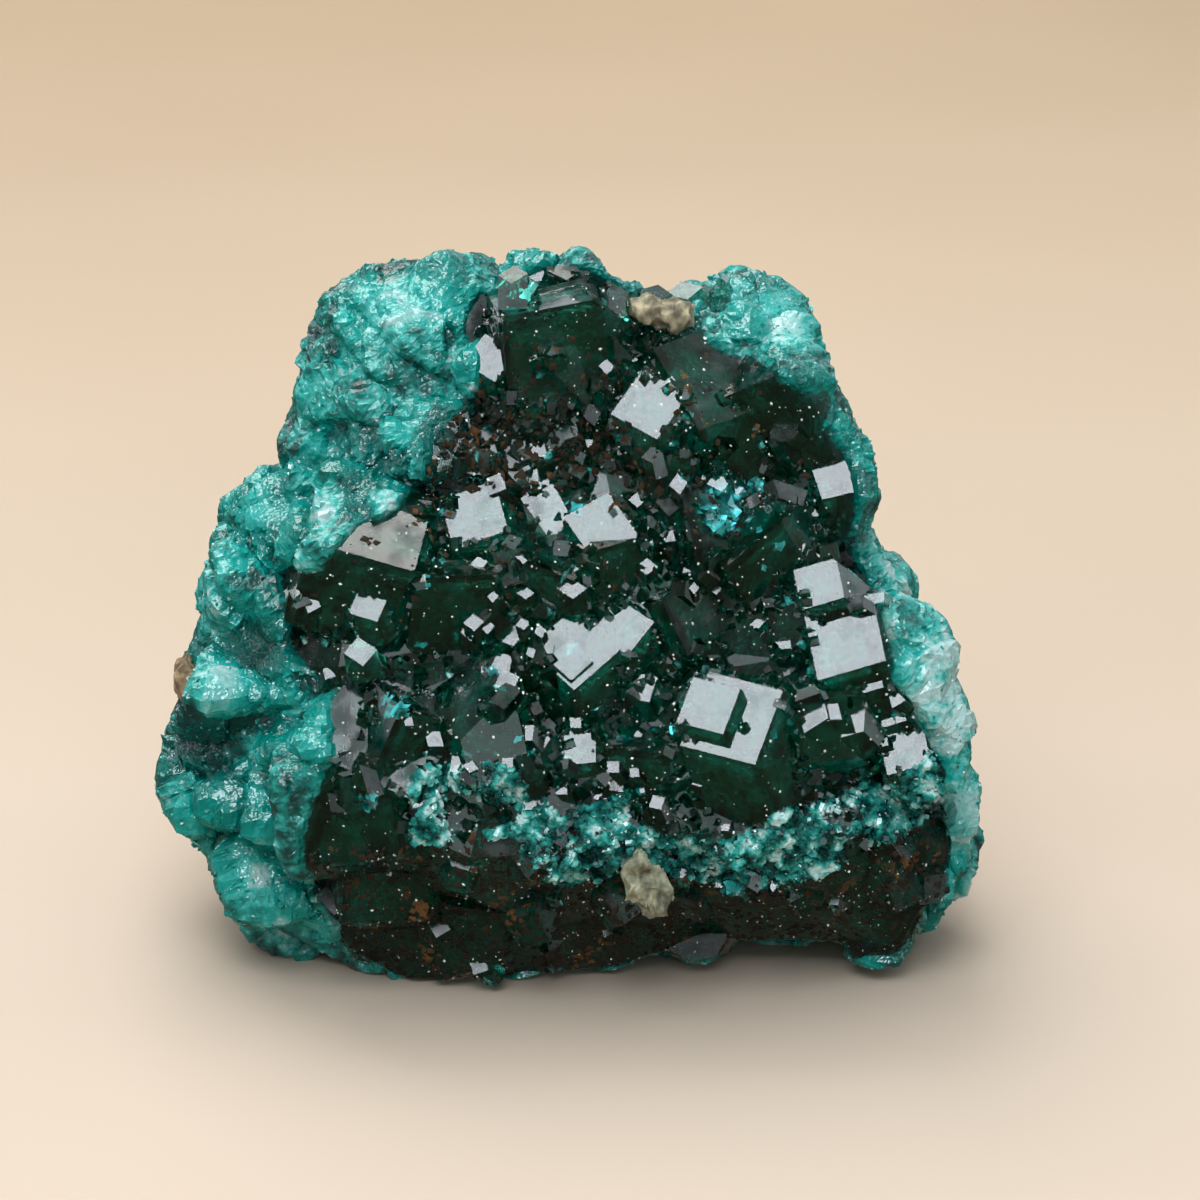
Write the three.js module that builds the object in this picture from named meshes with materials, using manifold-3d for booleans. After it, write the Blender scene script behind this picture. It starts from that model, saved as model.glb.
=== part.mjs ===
// A dioptase specimen: emerald green crystals grown together, with three remnants of host rock.
// Millimetres, +Z up. The origin is at the middle of the footprint, on the surface it rests on.
import * as THREE from 'three';
import { ConvexGeometry } from 'three/addons/geometries/ConvexGeometry.js';
import { mergeVertices } from 'three/addons/utils/BufferGeometryUtils.js';
import Module from 'manifold-3d';

const wasm = await Module();
wasm.setup();

// Driving dimensions, in millimetres and degrees.
// The specimen is shaped in a face frame: x to the right, y into the specimen from the crystal
// face, z up along that face. It is then leant back and cut off where it rests.
const LEAN = 21;
const FACE_MIDDLE = { x: 0, z: 19 };
const FRONT_DEPTH = 1.9;
const BACK_DEPTH = 22.5;
const REST_LEVEL = 0.5;
const BODY_REST_LEVEL = 0.8;
const POCKET_GAP = 0.25;

// Dioptase angles: from the c axis to a face of the pointed end, and to the stepped planes
// that broken blocks show.
const END_FACE_ANGLE = 51;
const CLEAVAGE_ANGLE = 44;

// The bright end faces all look up and a little to the left of straight out.
const GLINT = { up: 14, right: -4 };

// Outline of the specimen seen square to its face, clockwise from the upper left, with how
// deep the rim lies there: [x, z, depth].
const OUTLINE = [
  [-10.2, 35.4, 6], [-7.7, 36.1, 6.5], [-4, 35.9, 7], [0.1, 36.4, 6], [1.4, 35.1, 6], [5.9, 35, 6.5],
  [7.9, 35.8, 6.5], [9.7, 34.3, 6.5], [10.2, 32.4, 6.2], [11.5, 29.6, 6], [12.4, 27.3, 5.5], [12.9, 24.4, 6],
  [14.6, 21.6, 7], [15.3, 18.8, 7.5], [16.4, 15.6, 7.5], [18, 11.1, 8], [17.6, 9.2, 8], [15.7, 6.7, 8],
  [14.9, 4.9, 9], [11.8, 5.5, 9.5], [6.2, 5.6, 10], [1.9, 4.6, 10], [-4.1, 3.9, 10], [-7.5, 3.5, 10],
  [-10.5, 4.5, 10.5], [-13.2, 6.2, 11], [-16.5, 10.6, 11], [-18, 13.8, 9.5], [-17.2, 16, 8.5],
  [-17.6, 18, 7.5], [-17, 20.6, 7], [-15.7, 22.6, 6.5], [-15.6, 25.2, 7], [-13.1, 27, 6.5], [-11.7, 32, 6],
];

// Rings of the body, and of the rough shell that everything stays inside: share is of the
// outline, beyond is how far behind the rim. The body's front rings sink from face to rim.
const BODY_SHARE = 0.95;
const FRONT_RINGS = [0.32, 0.6, 0.84];
const RIM_SHARE = 1;
const BODY_BACK = [{ share: 0.95, beyond: 7 }, { share: 0.68, beyond: 13 }];
const SHELL_BACK = [{ share: 1, beyond: 7 }, { share: 0.86, beyond: 13.6 }];
const BACK_LEVEL = 3.5;
const RIM_FOLLOW = 0.5;
const SHELL_FRONT = -6;
const SHELL_GAP = 1.4;
const ROUGHNESS = 0.5;
const SINK_FROM = 0.45;
const SINK_TO = 1.08;

// Forms of the crystal face: a stained hollow high up, and a lip that juts out low down.
const HOLLOW = { x: -2.4, z: 26.8, width: 4.4, height: 2.2, depth: 2.6 };
const LIP = { z: 10.6, height: 1.8, depth: -1.5, reach: 3.6 };

// The deep undercut below the lip: its edge on the face, and how it narrows to its wall.
const UNDERCUT = [
  [-12, 4], [-10.6, 7.6], [-8.2, 9.2], [-5.6, 9], [-3, 8], [-0.6, 7.6], [1.8, 8.9], [3.6, 8.1],
  [6.6, 7.4], [9, 8.8], [11.6, 9.2], [13.8, 8.2], [14.6, 4.6], [13, -4], [-11, -4],
];
const UNDERCUT_SPACE = {
  middle: { x: 1.5, z: 2.5 },
  rings: [{ share: 1.05, depth: -5 }, { share: 1, depth: 3 }, { share: 0.86, depth: 7 }],
  wall: 7.8,
  reach: 10.5,
};

// Crystals that show one end face to the front: side of that face, and the turn of its
// upper corner to the left, in degrees. up and right tip the face, from the glint by default.
const SHOWN_CRYSTALS = [
  // the large two-step crystal low on the right
  { x: 6.7, z: 16.1, depth: 0.5, side: 3.5, turn: 27 },
  { x: 5.7, z: 16.6, depth: 0.2, side: 2.2, turn: 27 },
  // the row on the left, on the flank of one large brown-looking crystal
  { x: -7.9, z: 23.3, depth: 1.6, side: 2.4, turn: 12 },
  { x: -8.7, z: 21.1, depth: 0.8, side: 1.4, turn: 25 },
  { x: -9.2, z: 19, depth: 1.2, side: 1, turn: 8 },
  { x: -12.1, z: 18.3, depth: 1.8, side: 1.2, turn: -20 },
  { x: -9.6, z: 21.4, depth: 1.1, side: 4.6, turn: 20, up: -38, right: -14 },
  // around the hollow
  { x: -4.4, z: 24.8, depth: 1.7, side: 2.4, turn: 62 },
  { x: 1.1, z: 24.4, depth: 1.5, side: 2.2, turn: -12 },
  { x: 3.3, z: 29.6, depth: 1.5, side: 2.3, turn: 13 },
  { x: -2.9, z: 29.6, depth: 3.2, side: 1.3, turn: 40 },
  { x: -3.7, z: 31.6, depth: 3, side: 1.7, turn: 10 },
  { x: 11.3, z: 26.8, depth: 2.8, side: 2.1, turn: -28 },
  { x: -2.2, z: 35.4, depth: 5.6, side: 1.6, turn: 30 },
  { x: 7.3, z: 33.1, depth: 3.6, side: 1.2, turn: 20 },
  // the middle
  { x: 0, z: 19.2, depth: 0.9, side: 2.6, turn: 0 },
  { x: -0.2, z: 18.6, depth: 0.65, side: 1.4, turn: 0 },
  { x: -1.5, z: 18.9, depth: 0.9, side: 1, turn: 40 },
  { x: 2, z: 20.1, depth: 1, side: 1.8, turn: 10 },
  { x: 0.2, z: 14.8, depth: 0.9, side: 1.4, turn: 48 },
  { x: -2.3, z: 15, depth: 0.9, side: 1.7, turn: 15 },
  { x: 2.9, z: 17.5, depth: 1.2, side: 1.1, turn: 30 },
  // steps of one crystal on the right, all set alike
  { x: 10.4, z: 21.9, depth: 1.5, side: 1.8, turn: 58 },
  { x: 9.5, z: 20.2, depth: 2, side: 2.4, turn: 58, up: -6, right: 12 },
  { x: 11.6, z: 19.6, depth: 1.6, side: 3, turn: 58 },
  { x: 12.1, z: 18.1, depth: 1.9, side: 1.8, turn: 58 },
  { x: 13.5, z: 18.2, depth: 2.5, side: 1.3, turn: 58 },
  { x: 14, z: 16.8, depth: 2.7, side: 1.9, turn: 58 },
  { x: 14.1, z: 15, depth: 2.6, side: 2, turn: 58 },
  { x: 10.9, z: 15.8, depth: 1.3, side: 2.8, turn: 50, up: -10, right: 16 },
  // the sharp dark blocks at the lower left
  { x: -9.1, z: 13.8, depth: 1.2, side: 2.1, turn: 50, up: 4, right: 14 },
  { x: -10.3, z: 11.8, depth: 2, side: 4.6, turn: 52, up: -22, right: -10 },
  { x: -8.2, z: 8.9, depth: 4.6, side: 3.6, turn: 40, up: -30, right: 6 },
  // large dark crystals across the top
  { x: -0.8, z: 31.6, depth: 2.2, side: 4.2, turn: 52, up: -14, right: 6 },
  { x: -0.4, z: 33.4, depth: 3.1, side: 3.4, turn: 58, up: 36, right: 4 },
  { x: 6.4, z: 31, depth: 2.6, side: 4.8, turn: 70, up: 34, right: 12 },
  { x: 8, z: 28.2, depth: 2.3, side: 4.6, turn: 66, up: -26, right: -4 },
  { x: 10.6, z: 27.6, depth: 3.4, side: 3.6, turn: 80, up: -8, right: 46 },
  // clear crystals of the middle and right
  { x: 6.1, z: 24.9, depth: 1.7, side: 3.2, turn: 60, up: 24, right: 30 },
  { x: 4.6, z: 24.2, depth: 1.8, side: 2.6, turn: 0, up: -20, right: -24 },
  { x: 8.3, z: 22.4, depth: 1.6, side: 3.2, turn: 76, up: -28, right: 20 },
  { x: -1.6, z: 21.4, depth: 1.2, side: 2.8, turn: 20, up: -22, right: -20 },
  { x: 2.2, z: 22.4, depth: 1.5, side: 2.6, turn: -30, up: -16, right: 26 },
  { x: 5.1, z: 20.7, depth: 1.2, side: 2.6, turn: 80, up: 10, right: 34 },
  { x: -5.2, z: 20.7, depth: 1, side: 3.6, turn: 40, up: -30, right: 10 },
  { x: -4.6, z: 17.2, depth: 1.2, side: 3, turn: 10, up: 28, right: -30 },
  { x: -6.6, z: 14.6, depth: 1.2, side: 3.6, turn: 30, up: -20, right: 24 },
  { x: 2.6, z: 13.7, depth: 1, side: 2.6, turn: 35, up: -30, right: -8 },
  // the blunt tip that stands up at the top
  { x: 0.2, z: 35, depth: 4.6, side: 1.9, turn: 0, up: 4, right: 0 },
];

// Zones where the specimen is broken or massive. Cleavage blocks in a zone share one setting,
// as turns in degrees about x, y and z.
const BROKEN_ZONES = [
  { name: 'upper left shoulder', x: -8.4, z: 31.2, radius: 5.2, block: 3, setting: [20, 35, 10] },
  { name: 'left lobe', x: -13.6, z: 24, radius: 3.4, block: 2.7, setting: [-30, 50, 15] },
  { name: 'bright chunk', x: -12.6, z: 15.8, radius: 3.8, block: 3, setting: [10, -25, 40] },
  { name: 'lower left flank', x: -15, z: 11, radius: 4.6, block: 3.1, setting: [60, 20, -20] },
  { name: 'right rim', x: 16, z: 14, radius: 4.4, block: 2.8, setting: [-15, 65, 30] },
  { name: 'upper right corner', x: 9, z: 33.6, radius: 2.4, block: 2.2, setting: [40, 10, 75] },
];

// Growth over the rest of the body, set out at random at least this far apart.
const SPACING = { face: 4, lip: 3, sides: 6.4 };
const BLOCK_SPACING = 1.03;
const CRYSTAL_SIDE = { face: [1.5, 2.8], lip: [1, 1.9], sides: [2.2, 3.6] };
const CRYSTAL_RISE = { face: [0, 0.35], lip: [0.05, 0.4], sides: [-0.35, 0.05] };
const CRYSTAL_TILT = 38;
const CRYSTAL_LENGTH = 1.3;
const UNEVEN_GROWTH = 0.16;
const CLEAR_OF_SHOWN = 0.55;
const BLOCK_SIZE = [0.7, 1.15];
const BLOCK_THICKNESS = [0.45, 0.85];
const BLOCK_CHIP = 0.6;
const BLOCK_SKEW = 8;
const BLOCK_TURN = 40;
const BLOCK_SINK = 0.55;
const SIDE_FACING = -0.35;
const TRIES = 9000;
const FACE_REACH = 6.5;
const TINY = 1e-6;
const REACH = 80;

// Remnants of host rock: lumps of one piece each, in the face frame.
const MATRIX_PIECES = {
  matrix_front: [
    { x: 2.7, z: 9.9, depth: 1.9, size: [0.75, 0.9, 0.8] },
    { x: 3.1, z: 8.9, depth: 1.9, size: [1.2, 1, 1.1] },
    { x: 3.4, z: 8, depth: 2.2, size: [0.8, 0.8, 0.75] },
  ],
  matrix_top: [
    { x: 3.2, z: 33.8, depth: 4.2, size: [1.2, 0.9, 0.8] },
    { x: 4.3, z: 33.5, depth: 4.1, size: [1, 0.9, 0.9] },
  ],
  matrix_left: [
    { x: -17, z: 17.8, depth: 7.2, size: [0.7, 1.3, 1.2] },
  ],
};
const MATRIX_ROUGHNESS = 0.32;

function seededRandom(seed) {
  let state = seed;
  return () => {
    state = (state * 1664525 + 1013904223) % 4294967296;
    return state / 4294967296;
  };
}

function between(random, [low, high]) {
  return low + (high - low) * random();
}

function radians(degrees) {
  return THREE.MathUtils.degToRad(degrees);
}

function solidOf(geometry) {
  const bare = new THREE.BufferGeometry();
  bare.setAttribute('position', geometry.getAttribute('position').clone());
  bare.setIndex(geometry.index);
  const merged = mergeVertices(bare, 1e-4);
  return new wasm.Manifold(new wasm.Mesh({
    numProp: 3,
    vertProperties: merged.getAttribute('position').array,
    triVerts: new Uint32Array(merged.index.array),
  }));
}

function geometryOf(solid) {
  const mesh = solid.getMesh();
  const geometry = new THREE.BufferGeometry();
  geometry.setAttribute('position', new THREE.BufferAttribute(new Float32Array(mesh.vertProperties), 3));
  geometry.setIndex(new THREE.BufferAttribute(new Uint32Array(mesh.triVerts), 1));
  return geometry;
}

// The largest closed surface of a solid: sealed bubbles between crystals count as grown shut.
function outerBody(solid) {
  return solid.decompose().reduce((largest, body) => (body.volume() > largest.volume() ? body : largest));
}

// A closed body from rings of points, clockwise from the front, with a tip at each end.
function loft(rings, firstTip, lastTip) {
  const sides = rings[0].length;
  const points = [firstTip, ...rings.flat(), lastTip];
  const index = [];
  const last = points.length - 1;
  for (let i = 0; i < sides; i++) {
    const next = (i + 1) % sides;
    index.push(0, 1 + next, 1 + i);
    for (let ring = 0; ring < rings.length - 1; ring++) {
      const a = 1 + ring * sides + i;
      const b = 1 + ring * sides + next;
      index.push(a, b, a + sides);
      index.push(b, b + sides, a + sides);
    }
    index.push(last, last - sides + i, last - sides + next);
  }
  const geometry = new THREE.BufferGeometry().setFromPoints(points);
  geometry.setIndex(index);
  return geometry;
}

// A hump of height 1 at its middle that fades out over its reach.
function hump(distance, reach) {
  return Math.exp(-((distance / reach) ** 2));
}

// Depth of the body's front at a share of the way from the middle to the rim.
function frontDepth(x, z, share, rimDepth) {
  const sink = THREE.MathUtils.smoothstep(share, SINK_FROM, SINK_TO);
  const hollow = hump(x - HOLLOW.x, HOLLOW.width) * hump(z - HOLLOW.z, HOLLOW.height);
  const lip = hump(z - LIP.z, LIP.height) * (1 - share ** 4);
  return FRONT_DEPTH + (rimDepth - FRONT_DEPTH) * sink + HOLLOW.depth * hollow + LIP.depth * lip;
}

function outlineRing(share, depthAt, random) {
  const rough = () => ROUGHNESS * (random() - 0.5);
  return OUTLINE.map(([x, z, rimDepth]) => {
    const ringX = FACE_MIDDLE.x + (x - FACE_MIDDLE.x) * share + rough();
    const ringZ = FACE_MIDDLE.z + (z - FACE_MIDDLE.z) * share + rough();
    return new THREE.Vector3(ringX, depthAt(ringX, ringZ, rimDepth) + rough(), ringZ);
  });
}

function rimRing(share, random) {
  return outlineRing(share, (x, z, rimDepth) => rimDepth, random);
}

function backRings(rings, random) {
  return rings.map(({ share, beyond }) =>
    outlineRing(share, (x, z, rimDepth) => rimDepth * RIM_FOLLOW + BACK_LEVEL + beyond, random));
}

function middleAt(depth) {
  return new THREE.Vector3(FACE_MIDDLE.x, depth, FACE_MIDDLE.z);
}

// The massive body that the crystals grow from, without its undercut.
function makeBody() {
  const random = seededRandom(5);
  const front = FRONT_RINGS.map((share) =>
    outlineRing(share * BODY_SHARE, (x, z, rimDepth) => frontDepth(x, z, share, rimDepth), random));
  const rings = [...front, rimRing(BODY_SHARE, random), ...backRings(BODY_BACK, random)];
  return solidOf(loft(rings, middleAt(FRONT_DEPTH), middleAt(BACK_DEPTH)));
}

// The rough shell where the specimen broke off all round. Its front is clear of the crystals.
function makeShell() {
  const random = seededRandom(8);
  const front = outlineRing(RIM_SHARE, () => SHELL_FRONT, random);
  const rings = [front, rimRing(RIM_SHARE, random), ...backRings(SHELL_BACK, random)];
  return solidOf(loft(rings, middleAt(SHELL_FRONT - 1), middleAt(BACK_DEPTH + SHELL_GAP)));
}

// The air under the lip, narrower at its wall than at the face.
function makeUndercut() {
  const middle = UNDERCUT_SPACE.middle;
  const ringAt = ({ share, depth }) => UNDERCUT.map(([x, z]) => new THREE.Vector3(
    middle.x + (x - middle.x) * share,
    depth,
    middle.z + (z - middle.z) * share,
  ));
  const { rings, wall } = UNDERCUT_SPACE;
  const front = new THREE.Vector3(middle.x, rings[0].depth, middle.z);
  return solidOf(loft(rings.map(ringAt), front, new THREE.Vector3(middle.x, wall, middle.z)));
}

// The convex body bounded by planes given as { normal, distance } from its centre.
function bodyWithin(planes) {
  const corners = [];
  for (let i = 0; i < planes.length; i++) {
    for (let j = i + 1; j < planes.length; j++) {
      for (let k = j + 1; k < planes.length; k++) {
        const corner = crossingOf(planes[i], planes[j], planes[k]);
        if (corner && planes.every((plane) => plane.normal.dot(corner) <= plane.distance + TINY)) {
          corners.push(corner);
        }
      }
    }
  }
  return new ConvexGeometry(corners);
}

// The one point on three planes, or null where two of them are parallel.
function crossingOf(a, b, c) {
  const bc = new THREE.Vector3().crossVectors(b.normal, c.normal);
  const ca = new THREE.Vector3().crossVectors(c.normal, a.normal);
  const ab = new THREE.Vector3().crossVectors(a.normal, b.normal);
  const volume = a.normal.dot(bc);
  if (Math.abs(volume) < TINY) return null;
  return bc.multiplyScalar(a.distance).addScaledVector(ca, b.distance).addScaledVector(ab, c.distance)
    .divideScalar(volume);
}

// The direction at an angle from +Z, turned round +Z by an azimuth.
function direction(angle, azimuth) {
  const [tip, turn] = [radians(angle), radians(azimuth)];
  return new THREE.Vector3(Math.sin(tip) * Math.cos(turn), Math.sin(tip) * Math.sin(turn), Math.cos(tip));
}

function randomVector(random) {
  return new THREE.Vector3(random() - 0.5, random() - 0.5, random() - 0.5);
}

// A six-sided dioptase crystal along +Z with three end faces. Its first end face has its
// centre at the origin. Growth makes each face a little nearer or further than its twin.
function crystalGeometry(side, length, random) {
  const steepness = Math.tan(radians(END_FACE_ANGLE));
  const radius = side / Math.hypot(1, steepness / 2);
  const flat = radius * Math.cos(Math.PI / 6);
  const end = radius * steepness / 2 * Math.cos(radians(END_FACE_ANGLE));
  const uneven = () => 1 + UNEVEN_GROWTH * (random() - 0.5);
  const planes = [{ normal: direction(180, 0), distance: length }];
  for (let i = 0; i < 6; i++) planes.push({ normal: direction(90, 30 + 60 * i), distance: flat * uneven() });
  for (let i = 0; i < 3; i++) {
    planes.push({ normal: direction(END_FACE_ANGLE, 120 * i), distance: i === 0 ? end : end * uneven() });
  }
  return bodyWithin(planes).translate(-radius / 2, 0, 0);
}

// A cleavage block: a rhombohedron of unequal thickness with one corner chipped off.
function blockGeometry(size, random) {
  const planes = [{ normal: randomVector(random).normalize(), distance: size * BLOCK_CHIP }];
  for (let i = 0; i < 3; i++) {
    const normal = direction(CLEAVAGE_ANGLE, 120 * i + BLOCK_SKEW * random());
    const distance = size * between(random, BLOCK_THICKNESS);
    planes.push({ normal, distance }, { normal: normal.clone().negate(), distance });
  }
  return bodyWithin(planes);
}

// Turns direction a to b, and brings direction toward as near as it can to upward.
function turnFromTo(a, toward, b, upward) {
  const basis = (forward, up) => {
    const side = new THREE.Vector3().crossVectors(forward, up).normalize();
    const level = new THREE.Vector3().crossVectors(side, forward).normalize();
    return new THREE.Matrix4().makeBasis(forward, level, side);
  };
  return basis(b, upward).multiply(basis(a, toward).transpose());
}

// A crystal that shows one end face, centred at its place and facing as it says.
function shownCrystal(crystal, random) {
  const { x, z, depth, side, turn, up, right } = { ...GLINT, ...crystal };
  const outward = new THREE.Vector3(
    Math.sin(radians(right)),
    -Math.cos(radians(right)) * Math.cos(radians(up)),
    Math.sin(radians(up)),
  ).normalize();
  const upward = new THREE.Vector3(-Math.sin(radians(turn)), 0, Math.cos(radians(turn)));
  const [face, tip] = [direction(END_FACE_ANGLE, 0), direction(90 - END_FACE_ANGLE, 180)];
  const matrix = turnFromTo(face, tip, outward, upward).setPosition(x, depth, z);
  return solidOf(crystalGeometry(side, side * CRYSTAL_LENGTH, random).applyMatrix4(matrix));
}

// Random points on a solid with its normal there, at least spacing(point, normal) apart.
function scatterOn(solid, spacing, random) {
  const mesh = solid.getMesh();
  const corner = (i) => new THREE.Vector3().fromArray(mesh.vertProperties, mesh.triVerts[i] * 3);
  const triangles = [];
  let area = 0;
  for (let i = 0; i < mesh.triVerts.length; i += 3) {
    const shape = new THREE.Triangle(corner(i), corner(i + 1), corner(i + 2));
    area += shape.getArea();
    triangles.push({ shape, upTo: area });
  }
  const kept = [];
  for (let i = 0; i < TRIES; i++) {
    const pick = random() * area;
    const { shape } = triangles.find(({ upTo }) => upTo >= pick);
    const [u, v] = [random(), random()].sort((a, b) => a - b);
    const point = new THREE.Vector3()
      .addScaledVector(shape.a, u).addScaledVector(shape.b, v - u).addScaledVector(shape.c, 1 - v);
    const normal = shape.getNormal(new THREE.Vector3());
    const room = spacing(point, normal);
    if (kept.every((other) => other.point.distanceTo(point) > room)) kept.push({ point, normal });
  }
  return kept;
}

function placeOf({ point, normal }) {
  const reach = point.z < LIP.z ? UNDERCUT_SPACE.reach : FACE_REACH;
  if (normal.y > SIDE_FACING && point.y > reach) return 'sides';
  return Math.abs(point.z - LIP.z) < LIP.reach ? 'lip' : 'face';
}

function zoneOf(point) {
  return BROKEN_ZONES.find((zone) => Math.hypot(point.x - zone.x, point.z - zone.z) < zone.radius);
}

// A crystal that grows outwards from a spot on the body, tilted and turned at random.
function grownCrystal(spot, random) {
  const place = placeOf(spot);
  const side = between(random, CRYSTAL_SIDE[place]);
  const hinge = randomVector(random).cross(spot.normal).normalize();
  const axis = spot.normal.clone().applyAxisAngle(hinge, radians(CRYSTAL_TILT * random()));
  const matrix = turnFromTo(direction(0, 0), direction(90, 0), axis, randomVector(random));
  const rise = side * between(random, CRYSTAL_RISE[place]);
  matrix.setPosition(spot.point.clone().addScaledVector(axis, rise));
  return solidOf(crystalGeometry(side, side * CRYSTAL_LENGTH, random).applyMatrix4(matrix));
}

// A cleavage block set like its neighbours in the same zone, but for a small turn of its own.
function brokenBlock({ point, normal }, zone, random) {
  const turn = () => radians(BLOCK_TURN * (random() - 0.5));
  const turns = zone.setting.map((angle) => radians(angle) + turn());
  const matrix = new THREE.Matrix4().makeRotationFromEuler(new THREE.Euler(...turns));
  const size = zone.block * between(random, BLOCK_SIZE);
  matrix.setPosition(point.clone().addScaledVector(normal, -BLOCK_SINK * size));
  return solidOf(blockGeometry(size, random).applyMatrix4(matrix));
}

function besideShown(point) {
  return SHOWN_CRYSTALS.some(({ x, z, depth, side }) =>
    Math.hypot(point.x - x, point.y - depth, point.z - z) < side * CLEAR_OF_SHOWN);
}

function growOver(body) {
  const random = seededRandom(29);
  const spacing = (point, normal) => {
    const zone = zoneOf(point);
    return zone ? zone.block * BLOCK_SPACING : SPACING[placeOf({ point, normal })];
  };
  const spots = scatterOn(body, spacing, random).filter(({ point }) => !besideShown(point));
  return spots.map((spot) => {
    const zone = zoneOf(spot.point);
    return zone ? brokenBlock(spot, zone, random) : grownCrystal(spot, random);
  });
}

// One rough lump of host rock, larger all over by grow.
function lumpSolid({ x, z, depth, size }, grow, random) {
  const ball = new THREE.IcosahedronGeometry(1, 0);
  ball.deleteAttribute('normal');
  ball.deleteAttribute('uv');
  const lump = mergeVertices(ball);
  const points = lump.getAttribute('position');
  for (let i = 0; i < points.count; i++) {
    const rough = 1 + MATRIX_ROUGHNESS * (random() - 0.5);
    const reach = size.map((half) => half * rough + grow);
    points.setXYZ(i, points.getX(i) * reach[0], points.getY(i) * reach[1], points.getZ(i) * reach[2]);
  }
  return solidOf(lump.translate(x, depth, z));
}

function matrixSolid(lumps, grow) {
  const random = seededRandom(41);
  return lumps.map((lump) => lumpSolid(lump, grow, random)).reduce((joined, lump) => joined.add(lump));
}

// Everything below a height, once the specimen leans back.
function belowHeight(height) {
  const box = new THREE.BoxGeometry(REACH, REACH, REACH).translate(0, 0, height - REACH / 2);
  return solidOf(box.applyMatrix4(new THREE.Matrix4().makeRotationX(radians(LEAN))));
}

function makeCrystals() {
  const random = seededRandom(17);
  const body = makeBody().subtract(makeUndercut()).subtract(belowHeight(BODY_REST_LEVEL));
  const growth = [...growOver(body), ...SHOWN_CRYSTALS.map((crystal) => shownCrystal(crystal, random))];
  const grown = growth.reduce((joined, crystal) => joined.add(crystal), body).intersect(makeShell());
  const pockets = Object.values(MATRIX_PIECES).map((lumps) => matrixSolid(lumps, POCKET_GAP));
  return outerBody(pockets.reduce((left, pocket) => left.subtract(pocket), grown).subtract(belowHeight(REST_LEVEL)));
}

// Assembly: the face frame leans back, and the footprint's middle goes to the origin.
const crystalMaterial = new THREE.MeshStandardMaterial({ color: 0x0f7a6c, roughness: 0.18, metalness: 0 });
const matrixMaterial = new THREE.MeshStandardMaterial({ color: 0xb4aa86, roughness: 0.9, metalness: 0 });

function namedMesh(name, solid, material) {
  const geometry = geometryOf(solid).applyMatrix4(new THREE.Matrix4().makeRotationX(radians(-LEAN)));
  const mesh = new THREE.Mesh(geometry, material);
  mesh.name = name;
  return mesh;
}

const dioptase = new THREE.Group();
dioptase.add(namedMesh('dioptase_crystals', makeCrystals(), crystalMaterial));
for (const [name, lumps] of Object.entries(MATRIX_PIECES)) {
  dioptase.add(namedMesh(name, matrixSolid(lumps, 0), matrixMaterial));
}

const box = new THREE.Box3().setFromObject(dioptase);
const middle = box.getCenter(new THREE.Vector3());
for (const mesh of dioptase.children) mesh.geometry.translate(-middle.x, -middle.y, -box.min.z);

export default dioptase;
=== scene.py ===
# Dioptase crystal specimen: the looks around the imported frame. Metres, +Z up.
import math
import bmesh
import bpy
import numpy as np
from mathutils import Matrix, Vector


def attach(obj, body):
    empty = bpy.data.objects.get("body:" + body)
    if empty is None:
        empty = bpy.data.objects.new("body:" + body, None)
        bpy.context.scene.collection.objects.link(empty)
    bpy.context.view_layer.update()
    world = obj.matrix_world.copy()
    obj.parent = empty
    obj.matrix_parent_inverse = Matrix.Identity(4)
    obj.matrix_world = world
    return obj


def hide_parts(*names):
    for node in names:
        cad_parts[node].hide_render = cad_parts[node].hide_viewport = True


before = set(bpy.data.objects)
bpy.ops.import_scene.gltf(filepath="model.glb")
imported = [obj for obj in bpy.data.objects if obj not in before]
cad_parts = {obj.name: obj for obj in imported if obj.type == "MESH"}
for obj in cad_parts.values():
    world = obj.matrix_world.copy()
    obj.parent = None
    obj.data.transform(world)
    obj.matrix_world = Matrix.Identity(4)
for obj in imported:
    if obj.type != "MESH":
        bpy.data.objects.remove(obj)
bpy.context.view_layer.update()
mm = 0.001

# The specimen leans back. In its face frame x runs right, y into the crystals and z up the face.
faceFrame = {"lean": 21, "middleX": 0.0534, "middleY": 17.207, "restZ": 0.5}
lean = math.radians(faceFrame["lean"])


def faceToWorld(points):
    # face frame in millimetres to the object's frame in metres: a turn about x, then a shift
    x, y, z = np.moveaxis(np.asarray(points, float), -1, 0)
    return mm * np.stack([
        x - faceFrame["middleX"],
        z * math.sin(lean) + y * math.cos(lean) - faceFrame["middleY"],
        z * math.cos(lean) - y * math.sin(lean) - faceFrame["restZ"],
    ], axis=-1)


def worldToFace(points):
    # the same turn and shift the other way round
    x, y, z = np.moveaxis(np.asarray(points, float) / mm, -1, 0)
    y = y + faceFrame["middleY"]
    z = z + faceFrame["restZ"]
    return np.stack([
        x + faceFrame["middleX"],
        y * math.cos(lean) - z * math.sin(lean),
        y * math.sin(lean) + z * math.cos(lean),
    ], axis=-1)


def directionToWorld(direction):
    # a direction of the face frame in the object's frame
    return faceToWorld(direction) - faceToWorld([0, 0, 0])


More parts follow.
